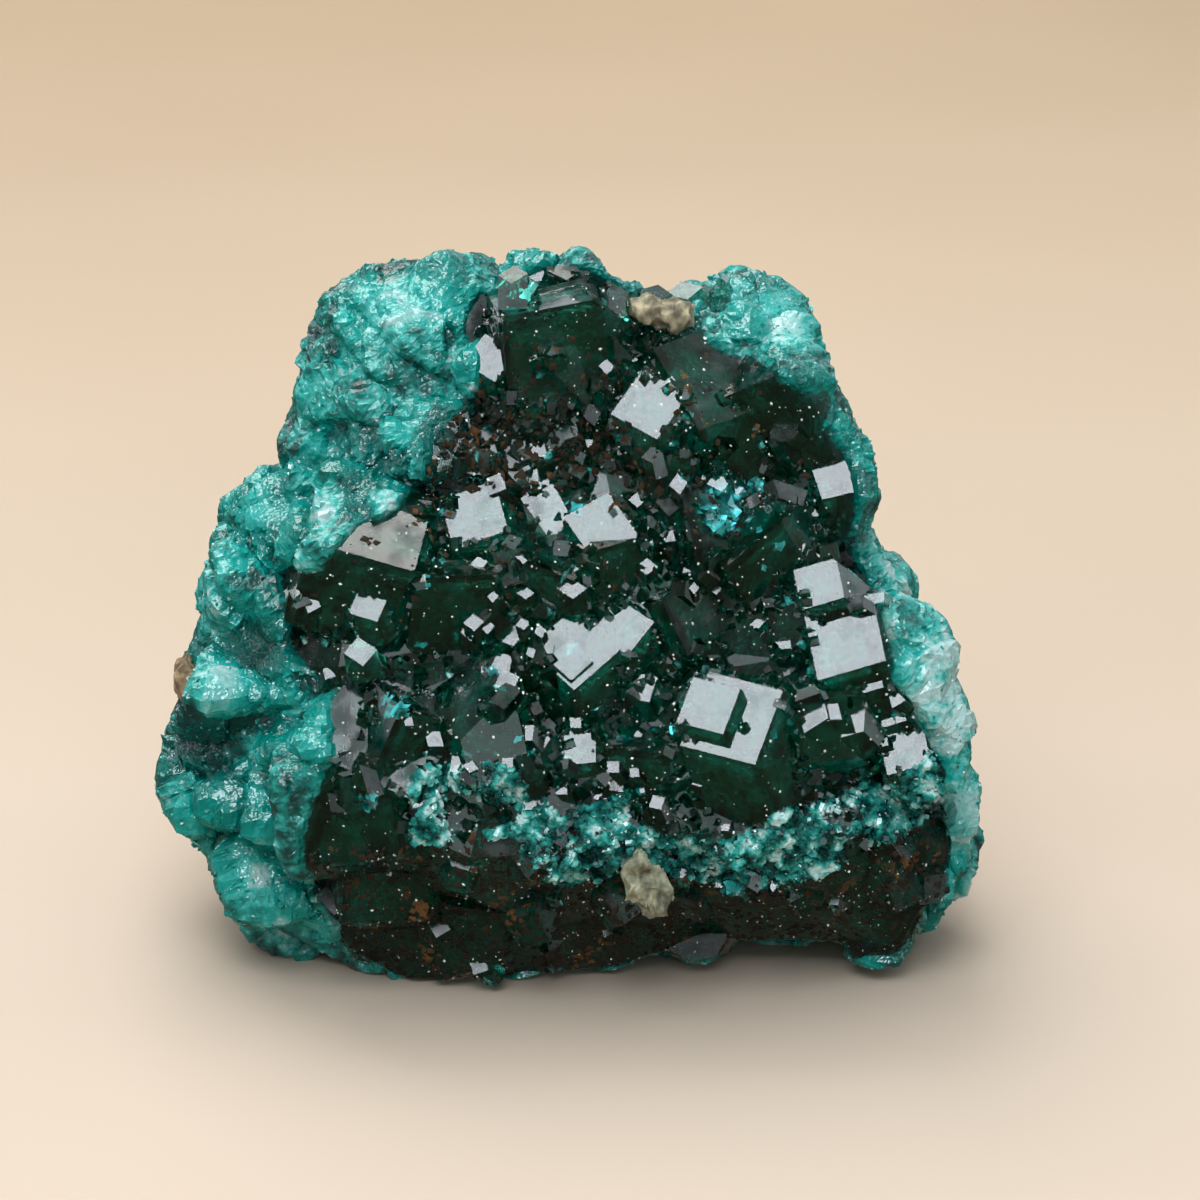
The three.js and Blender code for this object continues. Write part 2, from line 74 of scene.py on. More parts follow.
# Camera, floor and light
view = {"middle": (1.07, 2.0, 21.2), "width": 51.43, "distance": 270, "sensor": 36}
light = {
    "key": {"energy": 8.5, "up": 50, "left": 8, "size": 200, "away": 400, "colour": (0.86, 0.93, 1)},
    "back": {"energy": 4, "up": 58, "left": 150, "size": 190, "away": 240, "colour": (1, 0.97, 0.92)},
    "top": {"energy": 1.1, "up": 84, "left": 0, "size": 420, "away": 330, "colour": (0.96, 0.98, 1)},
    "sky": [(0.42, (0.17, 0.18, 0.18)), (0.51, (0.4, 0.43, 0.43)), (0.58, (1.5, 1.65, 1.75))],
    "skyPatches": 3.6,
    "ground": (0.1, 0.08, 0.062),
    "horizon": (-0.1, 0.25),
}


def addObject(name, data):
    obj = bpy.data.objects.new(name, data)
    bpy.context.scene.collection.objects.link(obj)
    return obj


def makeCamera():
    camera = addObject("camera", bpy.data.cameras.new("camera"))
    camera.data.sensor_width = view["sensor"]
    camera.data.lens = view["sensor"] * view["distance"] / view["width"]
    camera.data.clip_start = 0.01
    camera.data.clip_end = 10
    x, y, z = view["middle"]
    camera.location = Vector(faceToWorld([x, y - view["distance"], z]))
    camera.rotation_euler = (math.pi / 2 - lean, 0, 0)
    bpy.context.scene.camera = camera


def makeFloor():
    half = 1.5
    mesh = bpy.data.meshes.new("floor")
    corners = [(-half, -half, 0), (half, -half, 0), (half, half, 0), (-half, half, 0)]
    mesh.from_pydata(corners, [], [(0, 1, 2, 3)])
    floor = addObject("floor", mesh)
    mesh.materials.append(floorMaterial())
    floor.visible_glossy = False  # the dark faces mirror the room, not the floor


def makeSoftbox(name, spec):
    # a square light, turned to face the specimen; energy is its brightness, whatever its size
    data = bpy.data.lights.new(name, "AREA")
    data.shape = "SQUARE"
    data.size = spec["size"] * mm
    data.energy = spec["energy"] * math.pi * data.size ** 2
    data.color = spec["colour"]
    lamp = addObject(name, data)
    up, left = math.radians(spec["up"]), math.radians(spec["left"])
    towards = Vector((-math.sin(left) * math.cos(up), -math.cos(left) * math.cos(up), math.sin(up)))
    lamp.location = Vector((0, 0, 15 * mm)) + towards * spec["away"] * mm
    lamp.rotation_euler = towards.to_track_quat("Z", "Y").to_euler()
    return lamp


def makeWorld():
    # a dim room: soft bright patches above the horizon, brown below it
    world = bpy.data.worlds.new("studio")
    bpy.context.scene.world = world
    world.use_nodes = True
    tree = world.node_tree
    direction = addNode(tree, "ShaderNodeTexCoord").outputs["Generated"]
    patches = ramp(tree, noiseFrom(tree, direction, light["skyPatches"], 1), light["sky"])
    above = shareAlong(tree, direction, "Z", *light["horizon"])
    colour = mixColours(tree, above, (*light["ground"], 1), patches)
    tree.links.new(colour, tree.nodes["Background"].inputs["Color"])


def setViewTransform():
    bpy.context.scene.view_settings.view_transform = "Standard"


def limitBounces():
    # light that has crossed this many faces is too green and dark to matter
    cycles = bpy.context.scene.cycles
    cycles.max_bounces = 7
    cycles.transmission_bounces = 7
    cycles.diffuse_bounces = 2
    cycles.glossy_bounces = 4


# Materials
def newMaterial(name):
    # a material, its nodes, its surface and the object coordinates
    material = bpy.data.materials.new(name)
    material.use_nodes = True
    tree = material.node_tree
    place = addNode(tree, "ShaderNodeTexCoord").outputs["Object"]
    return material, tree, tree.nodes["Principled BSDF"], place


def setSockets(node, **values):
    for name, value in values.items():
        node.inputs[name.replace("_", " ")].default_value = value


def addNode(tree, kind, **values):
    # a node with its settings, or with its sockets where the name is a socket's
    node = tree.nodes.new(kind)
    for name, value in values.items():
        if hasattr(node, name):
            setattr(node, name, value)
        else:
            setSockets(node, **{name: value})
    return node


def ramp(tree, source, stops):
    node = addNode(tree, "ShaderNodeValToRGB")
    elements = node.color_ramp.elements
    while len(elements) < len(stops):
        elements.new(0.5)
    for element, (place, colour) in zip(elements, stops):
        element.position = place
        element.color = (*colour, 1)
    tree.links.new(source, node.inputs["Fac"])
    return node.outputs["Color"]


def grey(value):
    return (value,) * 3


def noiseFrom(tree, place, scale, detail, roughness=0.5):
    noise = addNode(tree, "ShaderNodeTexNoise", Scale=scale, Detail=detail, Roughness=roughness)
    tree.links.new(place, noise.inputs["Vector"])
    return noise.outputs["Fac"]


def shareAlong(tree, place, axis, low, high):
    # 0 at low and 1 at high along one axis of the coordinates
    parts = addNode(tree, "ShaderNodeSeparateXYZ")
    tree.links.new(place, parts.inputs["Vector"])
    share = addNode(tree, "ShaderNodeMapRange", From_Min=low, From_Max=high)
    tree.links.new(parts.outputs[axis], share.inputs["Value"])
    return share.outputs["Result"]


def mixColours(tree, share, first, second):
    # each colour is fixed or another node's; sockets 6 and 7 of the node take them
    mix = addNode(tree, "ShaderNodeMix", data_type="RGBA")
    tree.links.new(share, mix.inputs["Factor"])
    for socket, colour in ((mix.inputs[6], first), (mix.inputs[7], second)):
        if isinstance(colour, tuple):
            socket.default_value = colour
        else:
            tree.links.new(colour, socket)
    return mix.outputs[2]


def multiplyAdd(tree, first, second, third, clamped=False):
    # first * second + third, each a number or another node's
    node = addNode(tree, "ShaderNodeMath", operation="MULTIPLY_ADD", use_clamp=clamped)
    for socket, value in zip(node.inputs, (first, second, third)):
        if isinstance(value, (int, float)):
            socket.default_value = value
        else:
            tree.links.new(value, socket)
    return node.outputs["Value"]


def attributeOf(tree, name):
    return addNode(tree, "ShaderNodeAttribute", attribute_name=name).outputs["Fac"]


def addBump(tree, surface, height, strength, distance):
    bump = addNode(tree, "ShaderNodeBump", Strength=strength, Distance=distance)
    tree.links.new(height, bump.inputs["Height"])
    tree.links.new(bump.outputs["Normal"], surface.inputs["Normal"])


def speckledMaterial(name, scale, detail, colours, **values):
    # colours spread over noise, and fixed values for the other sockets
    material, tree, surface, place = newMaterial(name)
    tree.links.new(ramp(tree, noiseFrom(tree, place, scale, detail), colours), surface.inputs["Base Color"])
    setSockets(surface, **values)
    return material


floorLook = {
    "noise": 9,
    "near": [(0.3, (0.43, 0.34, 0.265)), (0.7, (0.49, 0.395, 0.31))],
    # further back the floor turns darker and browner: painted shade, the light falling off away from the
    # specimen
    "far": [(0.3, (0.34, 0.24, 0.15)), (0.7, (0.4, 0.29, 0.185))],
    "farAt": 0.15,
}


def floorMaterial():
    material, tree, surface, place = newMaterial("pale floor")
    noise = noiseFrom(tree, place, floorLook["noise"], 3)
    # painted shade: the floor darker and browner further back
    away = shareAlong(tree, place, "Y", 0, floorLook["farAt"])
    colour = mixColours(tree, away, ramp(tree, noise, floorLook["near"]), ramp(tree, noise, floorLook["far"]))
    tree.links.new(colour, surface.inputs["Base Color"])
    setSockets(surface, Roughness=0.85)
    return material


crystalLook = {
    "ior": 1.66,
    "absorbColour": (0.0, 0.77, 0.68, 1),
    "absorbDensity": 1350,
    "frost": 900,
    "roughness": [(0.42, grey(0.02)), (0.72, grey(0.3))],
    "soilRoughness": 0.3,
}


def crystalMaterial():
    material, tree, surface, place = newMaterial("clear dioptase")
    setSockets(surface, IOR=crystalLook["ior"], Transmission_Weight=1, Base_Color=(0.9, 1, 0.97, 1))
    frost = noiseFrom(tree, place, crystalLook["frost"], 2)
    rough = ramp(tree, frost, crystalLook["roughness"])
    rough = multiplyAdd(tree, attributeOf(tree, "soil"), crystalLook["soilRoughness"], rough, clamped=True)
    tree.links.new(rough, surface.inputs["Roughness"])
    addBump(tree, surface, frost, 0.1, 0.00003)
    absorb = addNode(tree, "ShaderNodeVolumeAbsorption", Color=crystalLook["absorbColour"],
                     Density=crystalLook["absorbDensity"])
    tree.links.new(absorb.outputs["Volume"], tree.nodes["Material Output"].inputs["Volume"])
    return material


# Shared shapes and sampling
endAngle = math.radians(51)  # from the long axis to a face of the pointed end
prismLength = 2.6
blockStretch = 0.28
blockReach = 1.6
weldReach = 1e-6


def crystalShape():
    # six-sided prism of radius 1 along z with three end faces; the rim dips by half or all of tan(51)
    turn = np.arange(6) * math.pi / 3
    hexagon = np.stack([np.cos(turn), np.sin(turn)], axis=1)
    dip = np.where(np.arange(6) % 2 == 0, 1.0, 0.5) * math.tan(endAngle)
    corners = np.vstack([
        [[0, 0, 0]],
        np.column_stack([hexagon, -dip]),
        np.column_stack([hexagon, np.full(6, -prismLength)]),
    ])
    faces = []
    for end in (1, 3, 5):
        before, after = (end - 2) % 6 + 1, end % 6 + 1
        faces += [(0, before, end), (0, end, after)]
    for side in range(6):
        a, b = 1 + side, 1 + (side + 1) % 6
        faces += [(a, a + 6, b + 6), (a, b + 6, b)]
    faces += [(7, 7 + i + 1, 7 + i) for i in range(1, 5)]
    return corners, np.array(faces)


def blockShape():
    # cleavage block: a cube stretched along its diagonal, so that its faces are rhombuses
    signs = np.array([(x, y, z) for z in (-1, 1) for y in (-1, 1) for x in (-1, 1)], float)
    axis = np.ones(3) / math.sqrt(3)
    corners = signs + blockStretch * (signs @ axis)[:, None] * axis
    faces = np.array([
        (0, 2, 1), (1, 2, 3), (4, 5, 6), (5, 7, 6), (0, 1, 4), (1, 5, 4),
        (2, 6, 3), (3, 6, 7), (0, 4, 2), (2, 4, 6), (1, 3, 5), (3, 7, 5),
    ])
    return corners / blockReach, faces


def surfaceOf(obj):
    # corners and triangles of a mesh object as arrays
    mesh = obj.data
    mesh.calc_loop_triangles()
    corners = np.empty(len(mesh.vertices) * 3)
    mesh.vertices.foreach_get("co", corners)
    triangles = np.empty(len(mesh.loop_triangles) * 3, dtype=np.int64)
    mesh.loop_triangles.foreach_get("vertices", triangles)
    return corners.reshape(-1, 3), triangles.reshape(-1, 3)


def scatter(corners, triangles, count, rng, weight=None):
    # random points by area: a + u(b - a) + v(c - a), folded back into the triangle
    a, b, c = (corners[triangles[:, i]] for i in range(3))
    cross = np.cross(b - a, c - a)
    area = np.linalg.norm(cross, axis=1)
    chance = area if weight is None else area * weight((a + b + c) / 3)
    pick = rng.choice(len(triangles), count, p=chance / chance.sum())
    u, v = rng.random((2, count))
    over = u + v > 1
    u[over], v[over] = 1 - u[over], 1 - v[over]
    points = a[pick] + u[:, None] * (b - a)[pick] + v[:, None] * (c - a)[pick]
    return points, (cross / np.maximum(area, 1e-20)[:, None])[pick]


def apart(points, room):
    # keeps each point that lies further than its own room from all those kept before it
    kept = np.empty((len(points), 3))
    keptIndex = []
    for i, point in enumerate(points):
        n = len(keptIndex)
        if n and (((kept[:n] - point) ** 2).sum(axis=1) < room[i] ** 2).any():
            continue
        kept[n] = point
        keptIndex.append(i)
    return np.array(keptIndex)


def unit(vectors):
    return vectors / np.linalg.norm(vectors, axis=-1, keepdims=True)


def basisAlong(axis, rng):
    # right-handed frames whose third direction is the axis, turned at random about it
    side = unit(np.cross(rng.normal(size=axis.shape), axis))
    return np.stack([side, np.cross(axis, side), axis], axis=2)


def tilted(normal, spread, rng):
    # the normal leant over at random: normal + spread * random
    return unit(normal + rng.normal(size=normal.shape) * spread)


def randomSizes(rng, limits, count, power):
    # mostly small: low + (high - low) u^power, in metres
    low, high = limits
    return mm * (low + (high - low) * rng.random(count) ** power)


def placedMesh(name, shape, scale, basis, origin):
    # one mesh of copies of a shape: each corner is scaled, turned by its basis and moved to its origin
    corners, faces = shape
    local = corners[None] * scale[:, None, :]
    world = np.einsum("nij,nkj->nki", basis, local) + origin[:, None, :]
    index = faces[None] + (np.arange(len(origin)) * len(corners))[:, None, None]
    return meshOf(name, world.reshape(-1, 3), index.reshape(-1, 3))


def meshOf(name, corners, triangles):
    mesh = bpy.data.meshes.new(name)
    mesh.vertices.add(len(corners))
    mesh.vertices.foreach_set("co", corners.astype(np.float32).ravel())
    mesh.loops.add(triangles.size)
    mesh.loops.foreach_set("vertex_index", triangles.astype(np.int32).ravel())
    mesh.polygons.add(len(triangles))
    mesh.polygons.foreach_set("loop_start", np.arange(0, triangles.size, 3, dtype=np.int32))
    mesh.update()
    mesh.validate()
    mesh.shade_flat()
    return mesh


def nodeCopy(name, nodeName):
    # a new object with a copy of a node's mesh, its doubles welded
    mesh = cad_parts[nodeName].data.copy()
    work = bmesh.new()
    work.from_mesh(mesh)
    bmesh.ops.remove_doubles(work, verts=work.verts, dist=weldReach)
    work.to_mesh(mesh)
    work.free()
    return addObject(name, mesh)


def remeshed(obj, voxel):
    # an even skin of small squares over the object, as a new mesh
    modifier = obj.modifiers.new("remesh", "REMESH")
    modifier.mode = "VOXEL"
    modifier.voxel_size = voxel * mm
    graph = bpy.context.evaluated_depsgraph_get()
    mesh = bpy.data.meshes.new_from_object(obj.evaluated_get(graph))
    obj.modifiers.clear()
    return mesh


def vertexArrays(mesh):
    corners = np.empty(len(mesh.vertices) * 3)
    mesh.vertices.foreach_get("co", corners)
    normals = np.empty(len(mesh.vertices) * 3)
    mesh.vertex_normals.foreach_get("vector", normals)
    return corners.reshape(-1, 3), normals.reshape(-1, 3)


def smooth(value, low, high):
    # 0 below low, 1 above high and a smooth rise between them
    share = np.clip((value - low) / (high - low), 0, 1)
    return share * share * (3 - 2 * share)


def addValues(mesh, name, values):
    # one number for each corner, for a material to read
    layer = mesh.attributes.new(name, "FLOAT", "POINT")
    layer.data.foreach_set("value", values.astype(np.float32))


def hashed(corner, seed):
    # one number from 0 to 1 for each lattice corner, from its whole numbers and the seed
    x, y, z = corner.T
    mixed = (x * 73856093 ^ y * 19349663 ^ z * 83492791 ^ seed * 40503) & 0xFFFFFFFF
    mixed = (mixed * 1103515245 + 12345) & 0x7FFFFFFF
    mixed = ((mixed ^ (mixed >> 11)) * 69069 + 1) & 0x7FFFFFFF
    return mixed / 0x7FFFFFFF


def latticeNoise(points, cell, seed):
    # value noise from 0 to 1: each lattice corner has its own number, blended smoothly in between
    grid = points / cell
    base = np.floor(grid).astype(np.int64)
    blend = grid - base
    blend = blend * blend * (3 - 2 * blend)
    total = np.zeros(len(points))
    for corner in range(8):
        step = np.array([corner & 1, corner >> 1 & 1, corner >> 2])
        share = np.prod(np.where(step == 1, blend, 1 - blend), axis=1)
        total += share * hashed(base + step, seed)
    return total


def finishPiece(piece, material, node=None):
    # one material, on the body, in place of a node where it has one
    piece.data.materials.clear()
    piece.data.materials.append(material)
    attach(piece, "root")
    if node:
        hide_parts(node)


def newPiece(name, mesh, material, node=None):
    finishPiece(addObject(name, mesh), material, node)


# Where the crystal face ends and the broken flanks begin, seen square to the face: [x, z] in millimetres
crystalFace = np.array([
    [-4.0, 33.8], [-0.8, 35.6], [2.0, 34.6], [5.4, 32.4], [8.4, 31.6], [10.8, 29.6], [11.6, 25.4],
    [12.6, 22.0], [13.6, 19.0], [14.8, 16.0], [16.2, 12.6], [16.4, 8.4], [13.8, 5.6], [-6.6, 4.0],
    [-10.6, 6.0], [-11.8, 9.2], [-10.6, 12.8], [-9.8, 15.2], [-10.6, 17.0], [-12.0, 19.2],
    [-12.4, 22.2], [-10.4, 23.8], [-7.4, 24.8], [-5.8, 27.8], [-4.6, 30.8],
])
# the lower edge of the sugary lip, and how far the lip reaches above it
lipEdge = np.array([
    [-7, 10.6], [-3.2, 11.2], [-0.6, 8.7], [2.8, 10.0], [7.1, 8.4], [11.5, 9.6], [16.5, 12.2],
])
lipHeight = 3.2
hollowZone = {"x": -2.4, "z": 27.8, "width": 4.6, "height": 2.1}
soilFilm = {"hollow": 0.4, "undercut": 0.5}
faceDepth = 10.5  # the crystal face lies in front of this y


def insideOutline(points, outline):
    # even-odd rule: counts the outline's sides crossed by a ray to the right
    x, z = points[:, 0:1], points[:, 2:3]
    ax, az = outline.T
    bx, bz = np.roll(outline, -1, axis=0).T
    between = (az > z) != (bz > z)
    crossing = ax + (z - az) / np.where(bz == az, 1, bz - az) * (bx - ax)
    return (between & (x < crossing)).sum(axis=1) % 2 == 1


def onCrystalFace(points, normals):
    # the front, inside the outline of the crystal face; the undercut is part of it
    face = worldToFace(points)
    front = worldToFace(points + normals * mm)[:, 1] - face[:, 1] < 0.3
    return insideOutline(face, crystalFace) & front & (face[:, 1] < faceDepth)


def aboveLipEdge(face):
    return face[:, 2] - np.interp(face[:, 0], *lipEdge.T)


def inLip(face):
    rise = aboveLipEdge(face)
    return (rise > 0) & (rise < lipHeight) & (face[:, 0] > lipEdge[0, 0])


def inUndercut(face):
    return aboveLipEdge(face) < 0


def hollowAway(face):
    # squared distance from the middle of the hollow, 1 on its edge
    away = ((face[:, 0] - hollowZone["x"]) / hollowZone["width"]) ** 2
    return away + ((face[:, 2] - hollowZone["z"]) / hollowZone["height"]) ** 2


def inHollow(face):
    return hollowAway(face) < 1


def soiled(face):
    # the film in the stained hollow and on the undercut, fading out around them
    hollow = soilFilm["hollow"] * smooth(-hollowAway(face), -1.3, -0.7)
    return np.maximum(hollow, soilFilm["undercut"] * smooth(-aboveLipEdge(face), 0, 1))


def shelter(points, normals, around, reach):
    # how far the neighbours within reach stand above the tangent plane: 0 on a ridge, near 1 in a pit
    result = np.zeros(len(points))
    for first in range(0, len(points), 1000):
        part = slice(first, first + 1000)
        to = around[None] - points[part, None]
        far = np.linalg.norm(to, axis=2)
        near = (far < reach) & (far > reach * 0.1)
        rise = np.maximum(np.einsum("nkj,nj->nk", to, normals[part]), 0) / np.maximum(far, 1e-9)
        result[part] = (rise * near).sum(axis=1) / np.maximum(near.sum(axis=1), 1)
    return result


def nearestDistance(points, others):
    return np.concatenate([
        np.linalg.norm(points[first:first + 1000, None] - others[None], axis=2).min(axis=1)
        for first in range(0, len(points), 1000)
    ])


def hides(tips, reach, plates):
    # whether a crystal with that tip stands in front of one of the bright plates, seen square to the face
    tips, plates = worldToFace(tips), worldToFace(plates)
    beside = np.linalg.norm(tips[:, None, [0, 2]] - plates[None][..., [0, 2]], axis=2) < reach[:, None] / mm
    return (beside & (tips[:, None, 1] < plates[None, :, 1] + 0.1)).any(axis=1)


def groupsApart(points, reach):
    # sorts points into groups in which no two are nearer than their reaches together
    group = np.full(len(points), -1)
    for i in range(len(points)):
        gap = np.linalg.norm(points[:i] - points[i], axis=1)
        taken = set(group[:i][gap < (reach[:i] + reach[i])])
        choice = 0
        while choice in taken:
            choice += 1
        group[i] = choice
    return group


def unite(target, extra):
    # joins a mesh of separate closed shapes to the target object
    tool = addObject("tool", extra)
    join = target.modifiers.new("join", "BOOLEAN")
    join.operation = "UNION"
    join.solver = "MANIFOLD"
    join.object = tool
    graph = bpy.context.evaluated_depsgraph_get()
    result = bpy.data.meshes.new_from_object(target.evaluated_get(graph))
    target.modifiers.clear()
    target.data = result
    bpy.data.objects.remove(tool)


def uniteAll(target, shape, scale, basis, origin, reach):
    # joins copies of a shape to the target, one group of copies that don't touch at a time
    group = groupsApart(origin, reach)
    for number in range(group.max() + 1):
        chosen = group == number
        unite(target, placedMesh("growth", shape, scale[chosen], basis[chosen], origin[chosen]))
    print("joined", len(origin), "shapes in", group.max() + 1, "groups,", len(target.data.polygons), "faces")


def keepLargest(mesh):
    # drops sealed bubbles and loose chips: only the largest connected surface stays
    work = bmesh.new()
    work.from_mesh(mesh)
    work.verts.ensure_lookup_table()
    seen = np.zeros(len(work.verts), bool)
    islands = []
    for start in work.verts:
        if seen[start.index]:
            continue
        seen[start.index] = True
        island, queue = [start], [start]
        while queue:
            for edge in queue.pop().link_edges:
                for other in edge.verts:
                    if not seen[other.index]:
                        seen[other.index] = True
                        island.append(other)
                        queue.append(other)
        islands.append(island)
    islands.sort(key=len)
    loose = [vert for island in islands[:-1] for vert in island]
    bmesh.ops.delete(work, geom=loose, context="VERTS")
    work.to_mesh(mesh)
    work.free()
    print("dropped", len(islands) - 1, "sealed or loose pieces")


# The crystals: the solid, with finer growth joined to it on the crystal face
growth = {
    "seed": 11,
    "samples": 14000,
    "tries": 26000,
    "shelterReach": 1.5,
    "shelterFrom": 0.16,
    "radius": [(0.22, 0.95), (0.2, 0.62), (0.2, 0.7)],  # on the face, on the lip and in the hollow
    "room": {"face": 1.25, "hollow": 0.8},
    "tilt": 0.35,
    "uneven": (0.78, 1.25),
    "tip": (0.4, 1.1),  # how far the tip stands out, in radii
    "widest": 1.25,
    "plateFacing": 0.985,
    "plateClear": 0.28,
    "plateShare": 0.55,  # a crystal's largest radius as a share of its distance to a bright plate
    "dull": 0.5,
    "turns": 6,
}
reachOf = 2.8  # how far a crystal reaches from its tip, in radii
# the way that the bright end faces look: up and a little to the left of straight out of the face
glint = {"up": math.radians(14), "right": math.radians(-4)}
glintNormal = directionToWorld([
    math.sin(glint["right"]), -math.cos(glint["right"]) * math.cos(glint["up"]), math.sin(glint["up"]),
])
glintNormal /= np.linalg.norm(glintNormal)


# small crystals whose end faces catch the light, in rows and steps: [x, z, half width, half height] of the
# patch in the face frame, how many, and the turn of their upper corner to the left
tiling = {"deepest": 9, "turn": 12, "tilt": 0.05, "stretch": (0.7, 1.3), "proud": (0.02, 0.3)}
endWidth = 1.175  # of an end face, in radii
tiles = [
    {"patch": (11.6, 18.4, 2.4, 3.4), "count": 34, "side": (0.4, 1.1), "turn": 58},
    {"patch": (-1.5, 18.8, 2.0, 1.4), "count": 9, "side": (0.4, 0.9), "turn": 20},
    {"patch": (-2.0, 14.4, 5.5, 2.0), "count": 18, "side": (0.3, 0.9), "turn": 40},
    {"patch": (0.5, 21.5, 5.0, 1.8), "count": 12, "side": (0.25, 0.7), "turn": 10},
    {"patch": (-2.6, 26.0, 3.6, 2.6), "count": 6, "side": (0.35, 0.8), "turn": 50},
    {"patch": (4.4, 22.6, 3.6, 4.0), "count": 9, "side": (0.3, 0.8), "turn": 10},
    {"patch": (-11.4, 19.0, 1.2, 3.0), "count": 5, "side": (0.4, 0.9), "turn": -20},
    {"patch": (6.0, 9.6, 8.5, 2.0), "count": 14, "side": (0.25, 0.6), "turn": 30},
    {"patch": (-4.0, 6.5, 5.5, 2.0), "count": 4, "side": (0.3, 0.8), "turn": 70},
]


def frontSurface(obj, x, z):
    # where a line into the specimen at that place of the face meets the object, in the face frame
    start, end = Vector(faceToWorld([x, -20, z])), Vector(faceToWorld([x, 20, z]))
    hit, place, _, _ = obj.ray_cast(start, (end - start).normalized())
    return worldToFace(np.array(place)) if hit else None


def directionBasis(forward, upward):
    side = unit(np.cross(forward, upward))
    return np.stack([forward, np.cross(side, forward), side], axis=-1)


def addTiles(crystals, plates, rng):
    # crystals turned so that one end face has the glint normal, its middle just proud of what is there
    endNormal = np.array([math.sin(endAngle), 0, math.cos(endAngle)])
    towardTip = np.array([-math.cos(endAngle), 0, math.sin(endAngle)])
    local = directionBasis(endNormal, towardTip)
    middle = np.array([0.5, 0, -math.tan(endAngle) / 2])
    scale, basis, origin = [], [], []
    for patch in tiles:
        x, z, width, height = patch["patch"]
        for _ in range(patch["count"]):
            place = frontSurface(crystals, x + width * rng.uniform(-1, 1), z + height * rng.uniform(-1, 1))
            if place is None or place[1] > tiling["deepest"]:
                continue
            size = mm * rng.uniform(*patch["side"]) / endWidth
            if np.linalg.norm(plates - faceToWorld(place), axis=1).min() < size:
                continue
            turn = math.radians(patch["turn"] + rng.uniform(-tiling["turn"], tiling["turn"]))
            upward = unit(directionToWorld([-math.sin(turn), 0, math.cos(turn)]))
            normal = unit(glintNormal + rng.normal(size=3) * tiling["tilt"])
            turned = directionBasis(normal, upward) @ local.T
            scale.append([size, size * rng.uniform(*tiling["stretch"]), size])
            basis.append(turned)
            centre = faceToWorld(place + [0, -rng.uniform(*tiling["proud"]), 0])
            origin.append(centre - turned @ (middle * scale[-1]))
    scale, basis, origin = np.array(scale), np.array(basis), np.array(origin)
    shown = ~hides(origin, scale[:, 0], plates)
    scale, basis, origin = scale[shown], basis[shown], origin[shown]
    uniteAll(crystals, crystalShape(), scale, basis, origin, scale[:, 0] * reachOf)


def faceNormals():
    # of the three end faces and the six sides of a crystal
    end = np.arange(3) * 2 * math.pi / 3
    side = (np.arange(6) + 0.5) * math.pi / 3
    return np.vstack([
        np.column_stack([math.sin(endAngle) * np.cos(end), math.sin(endAngle) * np.sin(end),
                         np.full(3, math.cos(endAngle))]),
        np.column_stack([np.cos(side), np.sin(side), np.zeros(6)]),
    ])


def dullBasis(axis, scale, dull, rng):
    # frames along the axes; where dull is set they are turned until no face has the glint normal
    basis = basisAlong(axis, rng)
    for _ in range(growth["turns"]):
        normals = np.einsum("nij,nkj->nki", basis, unit(faceNormals()[None] / scale[:, None]))
        bright = dull & ((normals @ glintNormal).max(axis=1) > growth["plateFacing"])
        basis[bright] = basisAlong(axis[bright], rng)
    return basis


# crystals along the top rim: [x, height of the tip, radius] in the face frame, and where they are rooted
rim = np.array([
    [1.6, 34.9, 0.7], [2.6, 35.15, 0.8], [3.6, 34.9, 0.75], [4.6, 35.1, 0.85], [5.6, 35.0, 0.7],
    [6.5, 35.4, 0.8], [-2.6, 35.6, 0.7], [-4.2, 35.3, 0.8],
])
rimRoot = {"height": 33.7, "depth": 0.6, "deepest": 10, "lean": 0.15, "tilt": 0.12, "uneven": (0.85, 1.15)}


def addRim(crystals, rng):
    tips, radius = [], []
    for x, height, size in rim:
        root = frontSurface(crystals, x, rimRoot["height"])
        if root is not None and root[1] < rimRoot["deepest"]:
            tips.append([x, root[1] + rimRoot["depth"], height])
            radius.append(size * mm)
    up = unit(directionToWorld([0, rimRoot["lean"], 1]))
    axis = tilted(np.tile(up, (len(tips), 1)), rimRoot["tilt"], rng)
    radius = np.array(radius)
    scale = radius[:, None] * rng.uniform(*rimRoot["uneven"], (len(tips), 3))
    basis = dullBasis(axis, scale, np.ones(len(tips), bool), rng)
    uniteAll(crystals, crystalShape(), scale, basis, faceToWorld(tips), radius * reachOf)


def growthSpots(around, plates, points, normals, rng):
    # where crystals grow, and their radii: in pits, on the lip and in the hollow, clear of the bright plates
    face = worldToFace(points)
    pit = shelter(points, normals, around, growth["shelterReach"] * mm)
    lip, hollow = inLip(face), inHollow(face)
    gap = nearestDistance(points, plates)
    clear = (gap > growth["plateClear"] * mm) & ~inUndercut(face)
    use = ((pit > growth["shelterFrom"]) | lip | hollow) & clear
    points, normals, lip, hollow, gap = (values[use] for values in (points, normals, lip, hollow, gap))
    limits = np.array(growth["radius"])[np.select([lip, hollow], [1, 2])].T
    size = np.minimum(randomSizes(rng, limits, len(points), 2.2), growth["plateShare"] * gap)
    keep = apart(points, size * np.where(hollow, growth["room"]["hollow"], growth["room"]["face"]))
    return points[keep], normals[keep], size[keep]


